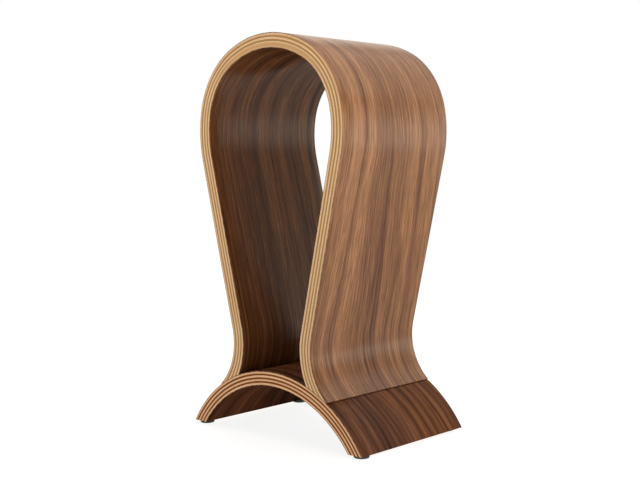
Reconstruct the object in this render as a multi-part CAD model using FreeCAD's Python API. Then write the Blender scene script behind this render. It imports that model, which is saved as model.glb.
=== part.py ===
"""Headphone stand of bent plywood: an omega-shaped loop glued on a shallow arched base.

Millimetres and degrees. The origin is on the table at the middle of the stand, +Z is up, the
open front faces -Y, and both bends lie in planes parallel to XZ. Each ply is its own solid.
"""
import FreeCAD, Part
import math
import os

# Overall size
OVERALL_HEIGHT = 265.0
DEPTH = 104.0

# Plywood: walnut on both faces of a core of plies that are light and dark in turn
FACE_VENEER = 0.5
CORE_PLY = 1.25
CORE_PLIES = 7

# Loop, along its outer face from the middle of the crown to the end of one leg
ROUND_RADIUS = 77.0
CROWN_SWEEP = 26.5
SHOULDER_RADIUS = 56.0
SHOULDER_SWEEP = 52.5
LEG_LEAN = 13.2
LEG_LENGTH = 116.5
FLARE_RADIUS = 40.5
FLARE_SWEEP = 62.0

# Base, along its top face
BASE_HEIGHT = 45.9
BASE_RADIUS = 92.4

# Rubber feet
FOOT_HEIGHT = 2.0
FOOT_DIAMETER = 10.0
FOOT_EDGE_ROUND = 0.6
FOOT_INSET = 6.5
REAR_FOOT_SHIFT = 3.0

# Worked out from the dimensions above
STACK = 2 * FACE_VENEER + CORE_PLIES * CORE_PLY
FLANK_SWEEP = 90.0 + LEG_LEAN - CROWN_SWEEP - SHOULDER_SWEEP
BASE_CENTRE_Z = BASE_HEIGHT - BASE_RADIUS
FRONT_Y = -DEPTH / 2


def at(x, z):
    """Point of the front plane."""
    return FreeCAD.Vector(x, FRONT_Y, z)


def layers():
    """Name and depth below the outer face, top and bottom, of each layer of the plywood."""
    stack = [("outer_veneer", 0.0, FACE_VENEER)]
    for number in range(1, CORE_PLIES + 1):
        top = FACE_VENEER + (number - 1) * CORE_PLY
        stack.append(("core_ply_%d" % number, top, top + CORE_PLY))
    stack.append(("inner_veneer", STACK - FACE_VENEER, STACK))
    return stack


def turn(position, heading, radius, sweep, side, inset):
    """Arc that leaves position along heading; side is 1 for a right turn and -1 for a left one.

    Gives the arc moved by inset to the right, with the position and heading where it ends.
    """
    right = FreeCAD.Vector(math.sin(heading), 0, -math.cos(heading))
    centre = position + right * (side * radius)
    points = []
    for part in (0.0, 0.5, 1.0):
        angle = heading - side * math.radians(sweep) * part
        normal = FreeCAD.Vector(math.sin(angle), 0, -math.cos(angle))
        points.append(centre - normal * (side * radius - inset))
    end_heading = heading - side * math.radians(sweep)
    end_right = FreeCAD.Vector(math.sin(end_heading), 0, -math.cos(end_heading))
    return Part.Arc(*points).toShape(), centre - end_right * (side * radius), end_heading


def straight(position, heading, length, inset):
    """Straight run that leaves position along heading, moved by inset to the right."""
    right = FreeCAD.Vector(math.sin(heading), 0, -math.cos(heading))
    end = position + FreeCAD.Vector(math.cos(heading), 0, math.sin(heading)) * length
    return Part.LineSegment(position + right * inset, end + right * inset).toShape(), end


def half_loop(inset):
    """Edges of the right half of the loop, from the crown's middle, inset below its outer face."""
    position = at(0.0, OVERALL_HEIGHT)
    heading = 0.0
    edges = []
    for radius, sweep in (
        (ROUND_RADIUS, CROWN_SWEEP),
        (SHOULDER_RADIUS, SHOULDER_SWEEP),
        (ROUND_RADIUS, FLANK_SWEEP),
    ):
        edge, position, heading = turn(position, heading, radius, sweep, 1, inset)
        edges.append(edge)
    edge, position = straight(position, heading, LEG_LENGTH, inset)
    edges.append(edge)
    edge, position, heading = turn(position, heading, FLARE_RADIUS, FLARE_SWEEP, -1, inset)
    edges.append(edge)
    return edges


def whole_loop(inset):
    """Both halves of the loop as one open wire, with the right half's far end."""
    right = half_loop(inset)
    middle = FreeCAD.Vector(0, 0, 0)
    left = [edge.mirror(middle, FreeCAD.Vector(1, 0, 0)) for edge in right]
    return right + left, right[-1].lastVertex().Point


def slab(edges):
    """Solid of a closed outline in the front plane, carried back over the whole depth."""
    outline = Part.Wire(Part.__sortEdges__(edges))
    return Part.Face(outline).extrude(FreeCAD.Vector(0, DEPTH, 0))


def across(end):
    """The same point on the left half."""
    return FreeCAD.Vector(-end.x, end.y, end.z)


def base_arc(inset, floor):
    """Arc of the base, inset below its top face, between its two crossings of the height floor."""
    radius = BASE_RADIUS - inset
    reach = math.sqrt(radius ** 2 - (floor - BASE_CENTRE_Z) ** 2)
    top = at(0.0, BASE_CENTRE_Z + radius)
    return Part.Arc(at(-reach, floor), top, at(reach, floor)).toShape(), at(reach, floor)


def space_of_base():
    """Everything under the base's top face: the legs of the loop are cut back to it."""
    arc, end = base_arc(0.0, 0.0)
    return slab([arc, Part.LineSegment(across(end), end).toShape()])


def loop_layer(top, bottom):
    """One layer of the loop, its two ends cut to a slant that lies on the base."""
    outer, outer_end = whole_loop(top)
    inner, inner_end = whole_loop(bottom)
    ends = [
        Part.LineSegment(outer_end, inner_end).toShape(),
        Part.LineSegment(across(outer_end), across(inner_end)).toShape(),
    ]
    return slab(outer + inner + ends).cut(space_of_base()).removeSplitter()


def base_layer(top, bottom):
    """One layer of the base, its two ends cut level above the feet."""
    outer, outer_end = base_arc(top, FOOT_HEIGHT)
    inner, inner_end = base_arc(bottom, FOOT_HEIGHT)
    ends = [
        Part.LineSegment(outer_end, inner_end).toShape(),
        Part.LineSegment(across(outer_end), across(inner_end)).toShape(),
    ]
    return slab([outer, inner] + ends)


def foot(x, y):
    """Round rubber foot with a softened lower edge."""
    body = Part.makeCylinder(FOOT_DIAMETER / 2, FOOT_HEIGHT, FreeCAD.Vector(x, y, 0))
    rim = [edge for edge in body.Edges if edge.BoundBox.ZMax < FOOT_HEIGHT / 2]
    return body.makeFillet(FOOT_EDGE_ROUND, rim)


def feet():
    """The front feet, centred under the cut ends of the base, and the rear ones nearer the middle."""
    outer_end = base_arc(0.0, FOOT_HEIGHT)[1]
    inner_end = base_arc(STACK, FOOT_HEIGHT)[1]
    front_x = (outer_end.x + inner_end.x) / 2
    rear_x = front_x - REAR_FOOT_SHIFT
    foot_y = DEPTH / 2 - FOOT_INSET
    return {
        "foot_front_left": foot(-front_x, -foot_y),
        "foot_front_right": foot(front_x, -foot_y),
        "foot_rear_left": foot(-rear_x, foot_y),
        "foot_rear_right": foot(rear_x, foot_y),
    }


def build():
    """All the pieces of the stand by name."""
    pieces = {}
    for name, top, bottom in layers():
        pieces["loop_" + name] = loop_layer(top, bottom)
    for name, top, bottom in layers():
        pieces["base_" + name] = base_layer(top, bottom)
    pieces.update(feet())
    return pieces


os.makedirs("parts", exist_ok=True)
for node, shape in build().items():
    solids = shape.Solids
    if len(solids) != 1 or not shape.isValid():
        raise ValueError("%s is not one valid solid" % node)
    solids[0].exportStep("parts/%s.step" % node)
    box = shape.BoundBox
    print("%-22s %9.1f mm3  x %.2f  z %.2f to %.2f" % (node, shape.Volume, box.XMax, box.ZMin, box.ZMax))
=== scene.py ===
"""Looks of the bent-plywood headphone stand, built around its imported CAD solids.

Blender works in metres, in the CAD frame: +Z up, the open front faces -Y, and the origin is on
the table under the middle. Every layer of the loop and of the base is swept along the same bend
as its CAD solid, with eased edges and slightly uneven plies, and carries its own grain
coordinates, in millimetres, for the wood materials.
"""

import math

import bpy
from mathutils import Euler, Matrix, Vector


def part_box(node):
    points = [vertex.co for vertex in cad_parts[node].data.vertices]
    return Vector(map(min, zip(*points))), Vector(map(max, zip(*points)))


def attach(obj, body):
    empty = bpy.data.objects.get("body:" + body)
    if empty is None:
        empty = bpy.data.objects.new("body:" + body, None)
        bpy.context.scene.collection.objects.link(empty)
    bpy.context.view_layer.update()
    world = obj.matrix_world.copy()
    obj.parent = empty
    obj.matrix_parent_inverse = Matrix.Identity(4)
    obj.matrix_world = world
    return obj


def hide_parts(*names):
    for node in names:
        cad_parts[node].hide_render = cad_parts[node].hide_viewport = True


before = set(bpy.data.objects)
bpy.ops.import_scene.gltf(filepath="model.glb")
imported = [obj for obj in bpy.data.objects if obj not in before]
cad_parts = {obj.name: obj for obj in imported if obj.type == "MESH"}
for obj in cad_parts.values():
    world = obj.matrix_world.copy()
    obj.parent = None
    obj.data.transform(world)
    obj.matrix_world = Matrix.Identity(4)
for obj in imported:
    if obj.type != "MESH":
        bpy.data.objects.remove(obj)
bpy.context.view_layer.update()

MM = 0.001

# The loop's outer face, from the middle of the crown to the end of a leg
ROUND_RADIUS = 77.0 * MM
CROWN_SWEEP = math.radians(26.5)
SHOULDER_RADIUS = 56.0 * MM
SHOULDER_SWEEP = math.radians(52.5)
LEG_LEAN = math.radians(13.2)
LEG_LENGTH = 116.5 * MM
FLARE_RADIUS = 40.5 * MM
FLARE_SWEEP = math.radians(62.0)
FLANK_SWEEP = math.pi / 2 + LEG_LEAN - CROWN_SWEEP - SHOULDER_SWEEP

# Detail that the plain solids leave out
ARRIS = 0.30 * MM
DARK_PLY_RECESS = 0.05 * MM
PLY_WOBBLE = 0.07 * MM
FEATHER_BLUNTING = 0.25 * MM
SHARP_CORNER = math.radians(32)
GROOVE_WIDTH = 0.5 * MM
GROOVE_DEPTH = 0.25 * MM

# Foot: eased lower edge, broken upper edge, and the hollow under it as (share of radius, height)
FOOT_EASING = 0.6 * MM
FOOT_EASING_STEPS = 6
FOOT_BREAK = 0.15 * MM
FOOT_HOLLOW = ((0.35, 0.12 * MM), (0.55, 0.08 * MM), (0.62, 0.0))

# Studio: each soft light as azimuth from behind towards the right, elevation, reach and brightness
SOFT_LIGHTS = (
    (315, 5, 34, 1.4),
    (90, 35, 34, 1.1),
    (315, 35, 34, 1.2),
    (290, 65, 34, 1.0),
    (0, 90, 34, 2.2),
    (14, 38, 36, 1.9),
    (28, 0, 20, 1.2),
)
SOFT_LIGHT_CORE = 0.25
HORIZON_LIGHT = 2.1
HORIZON_FADE = (0.42, -0.02)
BACKDROP_LIGHT = 1.0
LIGHT_COLOUR = (1.0, 0.95, 0.87, 1.0)
WHITE = (1.0, 1.0, 1.0, 1.0)
FLOOR_RADIUS = 1.6
FLOOR_FADE = (1.44, 0.40)
FLOOR_GREY = 0.20
FLOOR_GLOW = 0.88

# Camera: place in metres, turn from behind, tilt from level, roll, lens and shifts
CAMERA_PLACE = (0.49906, -0.53407, 0.17679)
CAMERA_TURN = math.radians(44.23)
CAMERA_TILT = math.radians(-6.32)
CAMERA_ROLL = math.radians(-0.83)
CAMERA_LENS = 60.1
SENSOR_WIDTH = 36.0
CAMERA_SHIFT = (0.0278, 0.0779)

# Fineness of the meshes
HALF_LOOP_STATIONS = 270
HALF_BASE_STATIONS = 110
ACROSS_STEPS = 12
ARRIS_STEPS = 3
FOOT_STEPS = 64
HALVINGS = 40


# ---------------------------------------------------------------- sizes taken from the frame

CORE_PLIES = ["core_ply_%d" % number for number in range(1, 8)]
LAYERS = ["outer_veneer"] + CORE_PLIES + ["inner_veneer"]


def boundaries(part):
    """Depth below the outer face of every boundary between the layers of the loop or the base."""
    tops = [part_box("%s_%s" % (part, layer))[1].z for layer in LAYERS]
    depths = [tops[0] - top for top in tops]
    return depths + [depths[-1] + depths[1]]


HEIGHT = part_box("loop_outer_veneer")[1].z
HALF_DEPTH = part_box("loop_outer_veneer")[1].y
BASE_LOW, BASE_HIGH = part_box("base_outer_veneer")
BASE_RISE = BASE_HIGH.z - BASE_LOW.z
BASE_RADIUS = (BASE_HIGH.x ** 2 + BASE_RISE ** 2) / (2 * BASE_RISE)
BASE_CENTRE_Z = BASE_HIGH.z - BASE_RADIUS


# ---------------------------------------------------------------- the two bends

LOOP_RUNS = (
    (ROUND_RADIUS, CROWN_SWEEP),
    (SHOULDER_RADIUS, SHOULDER_SWEEP),
    (ROUND_RADIUS, FLANK_SWEEP),
    (None, LEG_LENGTH),
    (-FLARE_RADIUS, FLARE_SWEEP),
)
FLARE_START = sum(size if radius is None else radius * size for radius, size in LOOP_RUNS[:4])


def loop_point(along, inset):
    """Point (x, z) at a distance along the loop's outer face from the crown, inset below it."""
    x, z, heading, left = 0.0, HEIGHT, 0.0, abs(along)
    for radius, size in LOOP_RUNS:
        length = size if radius is None else abs(radius) * size
        step = min(left, length)
        if radius is None:
            x += step * math.cos(heading)
            z += step * math.sin(heading)
        else:
            ahead = heading - step / radius
            x += radius * (math.sin(heading) - math.sin(ahead))
            z += radius * (math.cos(ahead) - math.cos(heading))
            heading = ahead
        left -= step
    x += inset * math.sin(heading)
    z -= inset * math.cos(heading)
    return math.copysign(x, along), z


def loop_end(inset):
    """Distance along the loop at which a line inset below its face meets the base."""
    near, far = FLARE_START, FLARE_START + FLARE_RADIUS * FLARE_SWEEP
    for _ in range(HALVINGS):
        middle = (near + far) / 2
        x, z = loop_point(middle, inset)
        if math.hypot(x, z - BASE_CENTRE_Z) > BASE_RADIUS:
            near = middle
        else:
            far = middle
    return near


def loop_bend(fraction, inset):
    """Place (x, z, along) at a fraction of the loop, -1 and 1 being its ends on the base."""
    reach = abs(fraction) * loop_bend.full
    if reach > FLARE_START:
        share = (reach - FLARE_START) / (loop_bend.full - FLARE_START)
        if inset not in loop_bend.ends:
            loop_bend.ends[inset] = loop_end(inset) - FEATHER_BLUNTING * (inset < ARRIS)
        reach = FLARE_START + share * (loop_bend.ends[inset] - FLARE_START)
    along = math.copysign(reach, fraction)
    x, z = loop_point(along, inset)
    return x, z, along


loop_bend.full = loop_end(0.0)
loop_bend.ends = {}


def base_bend(fraction, inset):
    """Place (x, z, along) at a fraction of the base, -1 and 1 being its ends above the feet."""
    radius = BASE_RADIUS - inset
    angle = fraction * math.acos((BASE_LOW.z - BASE_CENTRE_Z) / radius)
    x = radius * math.sin(angle)
    z = BASE_CENTRE_Z + radius * math.cos(angle)
    return x, z, angle * BASE_RADIUS


# Where the loop's feather edge ends on the base, as a distance along the base's top
SEAM_X, SEAM_Z = loop_point(loop_bend.full, 0.0)
SEAM = BASE_RADIUS * math.atan2(SEAM_X, SEAM_Z - BASE_CENTRE_Z)


# ---------------------------------------------------------------- meshes

def seam_groove(along):
    """Depth of the fine groove left in the base's top when the feather edge was trimmed to it."""
    off = abs(abs(along) - SEAM - GROOVE_WIDTH / 2)
    return GROOVE_DEPTH * max(0.0, 1.0 - 2 * off / GROOVE_WIDTH)


def wobble(boundary, along):
    """Slight rise and fall of a boundary between two layers; the two faces stay true."""
    if boundary in (0, len(LAYERS)):
        return 0.0
    phase = 1.7 * boundary
    slow = math.sin(along / (23.0 * MM) + phase)
    quick = math.sin(along / (9.1 * MM) + 2.3 * phase)
    return PLY_WOBBLE * (0.6 * slow + 0.4 * quick)


def ring_of_layer(index, depths):
    """Section of one layer as (boundary, depth below the face, across), going once round it."""
    top, bottom = depths[index], depths[index + 1]
    dark = 1 <= index <= 7 and index % 2 == 0
    side = HALF_DEPTH - (DARK_PLY_RECESS if dark else 0.0)
    top_round = ARRIS if index == 0 else 0.0
    bottom_round = ARRIS if index == len(LAYERS) - 1 else 0.0

    def row(boundary, depth, easing, inward):
        """One face of the layer from -side to side, its two corners eased by a quarter round."""
        half = side - easing
        points = []
        for step in range(ACROSS_STEPS + 1):
            points.append((boundary, depth, half * (2 * step / ACROSS_STEPS - 1)))
        if easing:
            turned = []
            for step in range(1, ARRIS_STEPS + 1):
                angle = math.pi / 2 * step / ARRIS_STEPS
                fall = depth + inward * easing * (1 - math.cos(angle))
                turned.append((boundary, fall, half + easing * math.sin(angle)))
            points += turned
            points = [(b, d, -y) for b, d, y in reversed(turned)] + points
        return points

    upper = row(index, top, top_round, 1)
    lower = row(index + 1, bottom, bottom_round, -1)
    return upper + lower[::-1]


def stations_of(half_stations, extra=()):
    """Fractions along a bend, from -1 to 1, with extra ones on each half."""
    fractions = {station / half_stations for station in range(-half_stations, half_stations + 1)}
    fractions.update(extra)
    fractions.update(-fraction for fraction in extra)
    return sorted(fractions)


def sweep(name, bend, ring, fractions, groove=None):
    """Closed mesh of a ring carried along a bend, with its grain coordinates."""
    points, grain = [], []
    for fraction in fractions:
        for boundary, depth, across in ring:
            x, z, along = bend(fraction, depth)
            inset = wobble(boundary, along)
            if groove and boundary == 0:
                inset += groove(along)
            if inset:
                near = bend(fraction, depth + MM)
                x += (near[0] - x) * inset / MM
                z += (near[1] - z) * inset / MM
            points.append((x, across, z))
            grain.append((along / MM, across / MM, depth / MM))
    count = len(ring)
    faces = []
    for station in range(len(fractions) - 1):
        start = station * count
        for k in range(count):
            following = (k + 1) % count
            faces.append((start + k, start + following, start + count + following, start + count + k))
    faces.append(tuple(reversed(range(count))))
    faces.append(tuple(range(len(points) - count, len(points))))
    return mesh_object(name, points, faces, grain)


def mesh_object(name, points, faces, grain):
    """Object of a mesh with smooth faces, sharp corners and a grain attribute."""
    mesh = bpy.data.meshes.new(name)
    mesh.from_pydata(points, [], faces)
    mesh.update()
    attribute = mesh.attributes.new("grain", "FLOAT_VECTOR", "POINT")
    attribute.data.foreach_set("vector", [value for point in grain for value in point])
    mesh.shade_smooth()
    mesh.set_sharp_from_angle(angle=SHARP_CORNER)
    piece = bpy.data.objects.new(name, mesh)
    bpy.context.scene.collection.objects.link(piece)
    return piece


def lathe(name, centre, profile):
    """Solid of a profile of (radius, height) points turned about an upright axis."""
    points, faces, grain = [], [], []
    for radius, height in profile:
        for step in range(FOOT_STEPS):
            angle = 2 * math.pi * step / FOOT_STEPS
            x, y = radius * math.cos(angle), radius * math.sin(angle)
            points.append((centre.x + x, centre.y + y, height))
            grain.append((x / MM, y / MM, height / MM))
    for level in range(len(profile) - 1):
        for step in range(FOOT_STEPS):
            a = level * FOOT_STEPS + step
            b = level * FOOT_STEPS + (step + 1) % FOOT_STEPS
            faces.append((a, b, b + FOOT_STEPS, a + FOOT_STEPS))
    faces.append(tuple(reversed(range(FOOT_STEPS))))
    faces.append(tuple(range(len(points) - FOOT_STEPS, len(points))))
    return mesh_object(name, points, faces, grain)


# ---------------------------------------------------------------- materials

class Shader:
    """A material being built: makes nodes and joins them to the principled shader."""

    def __init__(self, name):
        self.material = bpy.data.materials.new(name)
        self.material.use_nodes = True
        self.tree = self.material.node_tree
        self.surface = self.tree.nodes["Principled BSDF"]

    def feed(self, socket, value):
        """Gives a socket a plain value or the output of another node."""
        if isinstance(value, bpy.types.NodeSocket):
            self.tree.links.new(value, socket)
        else:
            socket.default_value = value

    def grain(self):
        """The three grain coordinates, in millimetres: along, across and depth."""
        source = self.tree.nodes.new("ShaderNodeAttribute")
        source.attribute_name = "grain"
        parts = self.tree.nodes.new("ShaderNodeSeparateXYZ")
        self.feed(parts.inputs[0], source.outputs["Vector"])
        return parts.outputs[0], parts.outputs[1], parts.outputs[2]

    def calc(self, operation, a, b=0.0, clamp=False):
        """Arithmetic on two values."""
        node = self.tree.nodes.new("ShaderNodeMath")
        node.operation = operation
        node.use_clamp = clamp
        self.feed(node.inputs[0], a)
        self.feed(node.inputs[1], b)
        return node.outputs[0]

    def scale(self, value, low, high, to_low=0.0, to_high=1.0):
        """The value carried from one range to another and kept inside it."""
        node = self.tree.nodes.new("ShaderNodeMapRange")
        node.interpolation_type = "SMOOTHSTEP"
        for socket, number in zip(node.inputs[:5], (value, low, high, to_low, to_high)):
            self.feed(socket, number)
        return node.outputs[0]

    def noise(self, x, y, z, detail=2.0, roughness=0.5):
        """Cloudy noise of about 0 to 1 at a place given in units of its own grain size."""
        place = self.tree.nodes.new("ShaderNodeCombineXYZ")
        for socket, value in zip(place.inputs, (x, y, z)):
            self.feed(socket, value)
        node = self.tree.nodes.new("ShaderNodeTexNoise")
        self.feed(node.inputs["Vector"], place.outputs[0])
        node.inputs["Scale"].default_value = 1.0
        node.inputs["Detail"].default_value = detail
        node.inputs["Roughness"].default_value = roughness
        return node.outputs["Fac"]

    def palette(self, tone, colours):
        """Colour at a tone of 0 to 1 from evenly spread colours."""
        node = self.tree.nodes.new("ShaderNodeValToRGB")
        elements = node.color_ramp.elements
        while len(elements) < len(colours):
            elements.new(1.0)
        for step, (element, colour) in enumerate(zip(elements, colours)):
            element.position = step / (len(colours) - 1)
            element.color = colour + (1.0,)
        self.feed(node.inputs[0], tone)
        return node.outputs[0]

    def mix(self, share, a, b, blend="MIX"):
        """Mix of two colours."""
        node = self.tree.nodes.new("ShaderNodeMix")
        node.data_type = "RGBA"
        node.blend_type = blend
        self.feed(node.inputs["Factor"], share)
        self.feed(node.inputs["A"], a)
        self.feed(node.inputs["B"], b)
        return node.outputs["Result"]

    def bump(self, height, distance, strength=1.0):
        """Bump of the surface from a height of 0 to 1."""
        node = self.tree.nodes.new("ShaderNodeBump")
        node.inputs["Strength"].default_value = strength
        node.inputs["Distance"].default_value = distance
        self.feed(node.inputs["Height"], height)
        self.feed(self.surface.inputs["Normal"], node.outputs["Normal"])


# Walnut, dark to pale
LOOP_WALNUT = ((0.072, 0.020, 0.005), (0.207, 0.090, 0.036), (0.450, 0.226, 0.103))
# Painted shade: the inside walnut is a darker copy of the loop's walnut, standing in for the shade inside
# the loop
SHADED_INSIDE_WALNUT = ((0.026, 0.009, 0.004), (0.104, 0.041, 0.0155), (0.250, 0.112, 0.048))
BASE_WALNUT = ((0.030, 0.008, 0.003), (0.110, 0.037, 0.0125), (0.285, 0.115, 0.048))
# Painted shade: the underside walnut is a darker copy of the base's walnut, standing in for the shade under
# the arch
SHADED_UNDERSIDE_WALNUT = ((0.016, 0.005, 0.002), (0.060, 0.023, 0.012), (0.130, 0.052, 0.028))

# Sanded edges of the core plies, and the shades of their fibres
LOOP_LIGHT_PLY = (0.70, 0.47, 0.28)
LOOP_DARK_PLY = (0.39, 0.21, 0.07)
BASE_LIGHT_PLY = (0.72, 0.43, 0.24)
BASE_DARK_PLY = (0.19, 0.05, 0.005)
CROWN_PLIES = (0.56, 0.33, 0.155)
DARK_FIBRE = (0.82, 0.78, 0.72, 1.0)
PALE_FIBRE = (1.05, 1.07, 1.11, 1.0)

# Small features of the surfaces
WALNUT_PORE = (0.45, 0.36, 0.30, 1.0)
PLY_PORE = (0.55, 0.42, 0.30, 1.0)
WORN_WALNUT = (0.40, 0.24, 0.13, 1.0)
# Painted shade along the seam where the loop's feather edge meets the base
PAINTED_SEAM_SHADE = (0.020, 0.006, 0.003, 1.0)
BLACK_RUBBER = (0.012, 0.012, 0.012, 1.0)
GREY_RUBBER = (0.030, 0.029, 0.028, 1.0)
DUST = (0.16, 0.15, 0.14, 1.0)

# Tint of each walnut sheet at its front edge and at its back edge; the underside's strong darkening towards
# its back edge is painted shade
LOOP_TINTS = ((1.02, 1.00, 1.02), (1.02, 0.98, 0.86))
INSIDE_TINTS = ((1.08, 0.98, 0.90), (0.98, 1.04, 1.08))
BASE_TINTS = ((0.95, 1.02, 1.35), (1.04, 0.98, 0.74))
UNDERSIDE_TINTS_AND_SHADE = ((1.20, 1.10, 1.00), (0.34, 0.36, 0.42))

# Figure of each walnut sheet: tone at its middle and at its ends, from 0 dark to 1 pale, swing of the
# broad bands, and depth of the dark growth lines. On the loop the fall in tone from the middle to the
# ends is painted light, the crown lighter and the legs darker
LOOP_OUTER_FIGURE_AND_LIGHT = (0.57, 0.44, 0.15, 0.26)
LOOP_INNER_FIGURE_AND_LIGHT = (0.47, 0.40, 0.16, 0.20)
BASE_OUTER_FIGURE = (0.52, 0.52, 0.20, 0.26)
BASE_INNER_FIGURE = (0.46, 0.44, 0.14, 0.20)

# Streaks in the walnut: frequency per millimetre across and along, layer of the noise and detail
BROAD_BANDS = (0.11, 0.0025, 29.0, 1.0)
GROWTH_LINES = (0.085, 0.003, 37.0)
THREADS = (0.26, 0.003, 3.0)
FINE_BANDS = (1.0, 0.006, 5.0, 1.0)
FIBRES = (1.6, 0.045, 7.0, 3.0)
PORES = (1.7, 0.10, 11.0, 2.0)
PATCHES = (0.07, 0.010, 17.0, 1.0)

# The same for the sanded plies, with the frequency along first and then through the depth
PLY_CLOUDS = (0.035, 0.8, 0.0, 2.0)
PLY_END_GRAIN = (2.4, 2.8, 5.0, 3.0)
PLY_LONG_FIBRES = (0.12, 5.0, 5.0, 3.0)
PLY_OWN_SHADE = (0.001, 0.4, 13.0, 0.0)
PLY_PORES = (3.6, 7.0, 9.0, 1.0)


def walnut(name, figure, palette, tints_and_shades, drift, coat, seed, seam_shade_line=None):
    """Walnut face veneer under satin lacquer: figure, fibres, pores, worn edges and, where a seam is given,
    a line of painted shade along it.

    The palette is dark, middle and pale. Between two distances along, the figure drifts backwards
    by the amount that drift ends with, and its tone goes from the middle's to the ends'; on the
    loop this change of tone is painted light, paler at the crown and darker down the legs. The coat
    is the lacquer's share and its refractive index.
    """
    shader = Shader(name)
    coat_weight, coat_index = coat
    along, across, _ = shader.grain()
    width = 2 * HALF_DEPTH / MM
    from_front = shader.calc("ADD", across, width / 2)
    distance = shader.calc("ABSOLUTE", along)

    start, finish, amount = drift
    descent = shader.scale(distance, start, finish, 0.0, amount)
    lean = shader.scale(from_front, 0.05 * width, 0.55 * width, -0.45, 1.0)
    slow_along = shader.calc("MULTIPLY", along, 0.007)
    slow_across = shader.calc("MULTIPLY", across, 0.02)
    wander = shader.scale(shader.noise(slow_along, slow_across, seed, 1.0), 0.2, 0.8, -1.6, 1.6)
    shift = shader.calc("SUBTRACT", wander, shader.calc("MULTIPLY", descent, lean))
    place = shader.calc("ADD", from_front, shift)

    def streaks(across_scale, along_scale, layer, detail=0.0):
        return shader.noise(
            shader.calc("MULTIPLY", place, across_scale),
            shader.calc("MULTIPLY", along, along_scale),
            seed + layer, detail,
        )

    def dark_lines(streak, half_width, deepest):
        crossing = shader.calc("SUBTRACT", streaks(*streak), 0.5)
        return shader.scale(shader.calc("ABSOLUTE", crossing), 0.0, half_width, deepest, 0.0)

    middle_tone_and_light, end_tone_and_shade, swing, line_depth = figure
    # Painted light: the tone goes from the middle's to the ends', on the loop paler at the crown and darker
    # down the legs
    level = shader.scale(distance, start, finish, middle_tone_and_light, end_tone_and_shade)
    broad = shader.scale(streaks(*BROAD_BANDS), 0.28, 0.72, -swing, swing)
    lines = dark_lines(GROWTH_LINES, 0.055, line_depth)
    threads = dark_lines(THREADS, 0.05, 0.15)
    bands = shader.scale(streaks(*FINE_BANDS), 0.25, 0.75, -0.12, 0.12)
    fibres = streaks(*FIBRES)
    pores = shader.scale(streaks(*PORES), 0.54, 0.70)

    tone = shader.calc("ADD", level, shader.calc("ADD", broad, bands))
    tone = shader.calc("SUBTRACT", tone, shader.calc("ADD", lines, threads))
    tone = shader.calc("ADD", tone, shader.scale(fibres, 0.28, 0.72, -0.18, 0.18), clamp=True)
    colour = shader.palette(tone, palette)
    patches = shader.scale(streaks(*PATCHES), 0.35, 0.65, -0.3, 0.3)
    backness = shader.calc("ADD", shader.scale(from_front, 0.0, width), patches)
    # The tint from front to back; on the underside it is painted shade, darker towards the back
    tint_and_shade = shader.mix(backness, tints_and_shades[0] + (1.0,), tints_and_shades[1] + (1.0,))
    colour = shader.mix(1.0, colour, tint_and_shade, "MULTIPLY")
    colour = shader.mix(shader.calc("MULTIPLY", pores, 0.5), colour, WALNUT_PORE, "MULTIPLY")

    edge = shader.scale(shader.calc("ABSOLUTE", across), width / 2 - 0.6, width / 2 - 0.1)
    patchy = shader.noise(shader.calc("MULTIPLY", along, 0.25), across, seed + 23.0, 3.0)
    worn = shader.calc("MULTIPLY", edge, shader.scale(patchy, 0.40, 0.62))
    colour = shader.mix(shader.calc("MULTIPLY", worn, 0.5), colour, WORN_WALNUT)
    # Painted shade: a dark line on the base's top along the seam with the loop's feather edge
    if seam_shade_line:
        off = shader.calc("ABSOLUTE", shader.calc("SUBTRACT", distance, seam_shade_line))
        seam_shade = shader.scale(off, 0.15, 0.50, 0.65, 0.0)
        colour = shader.mix(seam_shade, colour, PAINTED_SEAM_SHADE)
    shader.feed(shader.surface.inputs["Base Color"], colour)

    gloss = shader.calc("ADD", shader.calc("MULTIPLY", fibres, 0.16), shader.calc("MULTIPLY", worn, 0.12))
    shader.feed(shader.surface.inputs["Roughness"], shader.calc("ADD", gloss, 0.42))
    shader.surface.inputs["Specular IOR Level"].default_value = 0.0
    shader.surface.inputs["Coat Weight"].default_value = coat_weight
    shader.surface.inputs["Coat Roughness"].default_value = 0.22
    shader.surface.inputs["Coat IOR"].default_value = coat_index
    relief = shader.calc("SUBTRACT", fibres, shader.calc("MULTIPLY", pores, 0.8))
    shader.bump(relief, 0.04 * MM, 0.5)
    return shader.material


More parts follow.
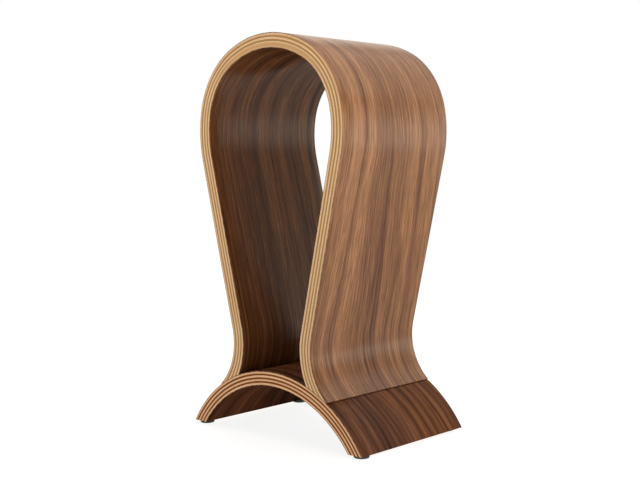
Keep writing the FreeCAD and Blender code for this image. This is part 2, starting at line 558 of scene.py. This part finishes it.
def ply_edge(name, timber, end_grain, seed, crown=None):
    """Sanded edge of the core plies: long fibres, or the open pores of plies laid across.

    Each ply has its own shade of the timber. Round the crown the deepest plies blend into one
    colour, if it is given.
    """
    shader = Shader(name)
    along, _, depth = shader.grain()

    def streaks(along_scale, depth_scale, layer, detail):
        return shader.noise(
            shader.calc("MULTIPLY", along, along_scale),
            shader.calc("MULTIPLY", depth, depth_scale),
            seed + layer, detail,
        )

    slow = streaks(*PLY_CLOUDS)
    fine = streaks(*(PLY_END_GRAIN if end_grain else PLY_LONG_FIBRES))
    own_shade = streaks(*PLY_OWN_SHADE)
    tone = shader.calc("ADD", shader.calc("MULTIPLY", slow, 0.4), shader.calc("MULTIPLY", fine, 0.4))
    tone = shader.calc("ADD", tone, shader.calc("MULTIPLY", own_shade, 0.2))
    shade = shader.mix(shader.scale(tone, 0.32, 0.66), DARK_FIBRE, PALE_FIBRE)
    colour = shader.mix(1.0, timber + (1.0,), shade, "MULTIPLY")
    if crown:
        near_crown = shader.scale(shader.calc("ABSOLUTE", along), 35.0, 75.0, 0.85, 0.0)
        deep = shader.calc("MULTIPLY", shader.scale(depth, 5.6, 6.8), near_crown)
        colour = shader.mix(deep, colour, shader.mix(1.0, crown + (1.0,), shade, "MULTIPLY"))
    pores = shader.scale(streaks(*PLY_PORES), 0.62, 0.76)
    colour = shader.mix(shader.calc("MULTIPLY", pores, 0.4), colour, PLY_PORE, "MULTIPLY")
    shader.feed(shader.surface.inputs["Base Color"], colour)
    roughness = shader.calc("ADD", shader.calc("MULTIPLY", fine, 0.2), 0.45)
    shader.feed(shader.surface.inputs["Roughness"], roughness)
    shader.surface.inputs["Specular IOR Level"].default_value = 0.05
    shader.surface.inputs["Coat Weight"].default_value = 0.02
    shader.surface.inputs["Coat Roughness"].default_value = 0.3
    shader.bump(shader.calc("SUBTRACT", fine, pores), 0.05 * MM, 0.5)
    return shader.material


def rubber(name):
    """Matt black rubber with a fine moulded grain and dust at its lower edge."""
    shader = Shader(name)
    x, y, height = shader.grain()
    grain = shader.noise(*(shader.calc("MULTIPLY", axis, 5.0) for axis in (x, y, height)), 4.0)
    dust = shader.scale(height, 0.7, 0.0, 0.0, 0.35)
    colour = shader.mix(grain, BLACK_RUBBER, GREY_RUBBER)
    colour = shader.mix(shader.calc("MULTIPLY", dust, grain), colour, DUST)
    shader.feed(shader.surface.inputs["Base Color"], colour)
    roughness = shader.calc("ADD", shader.calc("MULTIPLY", grain, 0.3), 0.55)
    shader.feed(shader.surface.inputs["Roughness"], roughness)
    shader.bump(grain, 0.05 * MM, 0.7)
    return shader.material


# ---------------------------------------------------------------- the stand

def finish_of_layer(part, index, finishes):
    """Material of one layer, and a slot name for it."""
    if index == 0:
        return finishes[part + "_outer"], "walnut_veneer"
    if index == len(LAYERS) - 1:
        return finishes[part + "_inner"], "walnut_veneer"
    tone = "light_ply" if index % 2 else "dark_ply"
    return finishes[part + "_" + tone], tone


def build_layers(part, bend, fractions, finishes, groove=None):
    """All the layers of the loop or the base."""
    depths = boundaries(part)
    for index, layer in enumerate(LAYERS):
        node = "%s_%s" % (part, layer)
        piece = sweep(node + "_shown", bend, ring_of_layer(index, depths), fractions, groove)
        material, slot = finish_of_layer(part, index, finishes)
        piece.data.materials.append(material)
        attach(piece, "root")
        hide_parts(node)


def build_feet(material):
    """The four rubber feet: a disc with eased edges and a shallow hollow under it."""
    for node in ("foot_front_left", "foot_front_right", "foot_rear_left", "foot_rear_right"):
        low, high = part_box(node)
        radius = (high.x - low.x) / 2
        top = high.z
        profile = [(radius * share, height) for share, height in FOOT_HOLLOW]
        for step in range(FOOT_EASING_STEPS + 1):
            angle = math.pi / 2 * step / FOOT_EASING_STEPS
            out = radius - FOOT_EASING + FOOT_EASING * math.sin(angle)
            profile.append((out, FOOT_EASING * (1 - math.cos(angle))))
        profile += [(radius, top - FOOT_BREAK), (radius - FOOT_BREAK, top)]
        piece = lathe(node + "_shown", (low + high) / 2, profile)
        piece.data.materials.append(material)
        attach(piece, "root")
        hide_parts(node)


def build_stand():
    """Every piece of the stand with its material."""
    seam = (SEAM + GROOVE_WIDTH / 2) / MM
    finishes = {
        "loop_outer": walnut(
            "walnut_loop_outer", LOOP_OUTER_FIGURE_AND_LIGHT, LOOP_WALNUT, LOOP_TINTS, (60, 260, 11),
            (0.32, 1.8), 2.0),
        "loop_inner": walnut(
            "walnut_loop_inner_shaded", LOOP_INNER_FIGURE_AND_LIGHT, SHADED_INSIDE_WALNUT, INSIDE_TINTS, (60, 260, 2),
            (0.165, 2.0), 31.0),
        "base_outer": walnut(
            "walnut_base_outer", BASE_OUTER_FIGURE, BASE_WALNUT, BASE_TINTS, (40, 100, 3),
            (0.09, 1.8), 57.0, seam),
        "base_inner": walnut(
            "walnut_base_inner_shaded", BASE_INNER_FIGURE, SHADED_UNDERSIDE_WALNUT, UNDERSIDE_TINTS_AND_SHADE, (40, 100, 3),
            (0.0, 1.5), 73.0),
        "loop_light_ply": ply_edge("loop_light_ply", LOOP_LIGHT_PLY, False, 5.0, CROWN_PLIES),
        "loop_dark_ply": ply_edge("loop_dark_ply", LOOP_DARK_PLY, True, 9.0, CROWN_PLIES),
        "base_light_ply": ply_edge("base_light_ply", BASE_LIGHT_PLY, False, 15.0),
        "base_dark_ply": ply_edge("base_dark_ply", BASE_DARK_PLY, True, 19.0),
    }
    build_layers("loop", loop_bend, stations_of(HALF_LOOP_STATIONS), finishes)
    reach = BASE_RADIUS * math.acos((BASE_LOW.z - BASE_CENTRE_Z) / BASE_RADIUS)
    groove_stations = [(SEAM + step * GROOVE_WIDTH / 2) / reach for step in (0, 1, 2)]
    build_layers("base", base_bend, stations_of(HALF_BASE_STATIONS, groove_stations), finishes, seam_groove)
    build_feet(rubber("rubber_foot"))


# ---------------------------------------------------------------- stage, light and camera

def build_stage():
    """A wide pale floor that fades into the white backdrop and is clear from underneath."""
    bpy.ops.mesh.primitive_circle_add(vertices=96, radius=FLOOR_RADIUS, fill_type="NGON")
    floor = bpy.context.object
    floor.name = "floor"
    shader = Shader("pale_floor")
    shader.surface.inputs["Base Color"].default_value = (FLOOR_GREY, FLOOR_GREY, FLOOR_GREY, 1.0)
    shader.surface.inputs["Emission Color"].default_value = WHITE
    shader.surface.inputs["Emission Strength"].default_value = FLOOR_GLOW
    shader.surface.inputs["Roughness"].default_value = 0.9
    shader.surface.inputs["Specular IOR Level"].default_value = 0.1
    geometry = shader.tree.nodes.new("ShaderNodeNewGeometry")
    length = shader.tree.nodes.new("ShaderNodeVectorMath")
    length.operation = "LENGTH"
    shader.feed(length.inputs[0], geometry.outputs["Position"])
    near = shader.scale(length.outputs["Value"], *FLOOR_FADE)
    from_above = shader.calc("SUBTRACT", 1.0, geometry.outputs["Backfacing"])
    shader.feed(shader.surface.inputs["Alpha"], shader.calc("MULTIPLY", near, from_above))
    floor.data.materials.append(shader.material)


def build_light():
    """Broad soft lights and a bright horizon, slightly warm, and white where the camera looks."""
    world = bpy.data.worlds.new("studio")
    world.use_nodes = True
    nodes, links = world.node_tree.nodes, world.node_tree.links
    direction = nodes.new("ShaderNodeTexCoord").outputs["Generated"]
    background = nodes["Background"]

    def glow(value, low, high, brightness):
        """Brightness that rises smoothly from 0 to its full amount between low and high."""
        node = nodes.new("ShaderNodeMapRange")
        node.interpolation_type = "SMOOTHSTEP"
        links.new(value, node.inputs[0])
        for socket, number in zip(node.inputs[1:5], (low, high, 0.0, brightness)):
            socket.default_value = number
        return node.outputs[0]

    parts = nodes.new("ShaderNodeSeparateXYZ")
    links.new(direction, parts.inputs[0])
    strength = glow(parts.outputs[2], *HORIZON_FADE, HORIZON_LIGHT)
    for azimuth, elevation, spread, brightness in SOFT_LIGHTS:
        turned, raised = math.radians(azimuth), math.radians(elevation)
        towards = nodes.new("ShaderNodeVectorMath")
        towards.operation = "DOT_PRODUCT"
        links.new(direction, towards.inputs[0])
        towards.inputs[1].default_value = (
            math.cos(raised) * math.sin(turned), math.cos(raised) * math.cos(turned), math.sin(raised))
        rim = math.cos(math.radians(spread))
        core = math.cos(math.radians(spread * SOFT_LIGHT_CORE))
        total = nodes.new("ShaderNodeMath")
        links.new(strength, total.inputs[0])
        links.new(glow(towards.outputs["Value"], rim, core, brightness), total.inputs[1])
        strength = total.outputs[0]

    seen = nodes.new("ShaderNodeLightPath").outputs["Is Camera Ray"]
    level = nodes.new("ShaderNodeMix")
    colour = nodes.new("ShaderNodeMix")
    colour.data_type = "RGBA"
    links.new(seen, level.inputs["Factor"])
    links.new(seen, colour.inputs["Factor"])
    links.new(strength, level.inputs["A"])
    level.inputs["B"].default_value = BACKDROP_LIGHT
    colour.inputs["A"].default_value = LIGHT_COLOUR
    colour.inputs["B"].default_value = WHITE
    links.new(level.outputs["Result"], background.inputs["Strength"])
    links.new(colour.outputs["Result"], background.inputs["Color"])
    bpy.context.scene.world = world


def build_camera():
    """Camera to the right of the open front, a little above the middle of the stand."""
    data = bpy.data.cameras.new("camera")
    data.sensor_width = SENSOR_WIDTH
    data.lens = CAMERA_LENS
    data.shift_x, data.shift_y = CAMERA_SHIFT
    camera = bpy.data.objects.new("camera", data)
    camera.location = CAMERA_PLACE
    turned = Euler((math.pi / 2 + CAMERA_TILT, 0.0, CAMERA_TURN)).to_matrix()
    roll = Matrix.Rotation(CAMERA_ROLL, 3, "Z")
    camera.rotation_euler = (turned @ roll).to_euler()
    bpy.context.scene.collection.objects.link(camera)
    bpy.context.scene.camera = camera


build_camera()
build_stage()
build_light()
build_stand()
bpy.context.scene.view_settings.view_transform = "Standard"
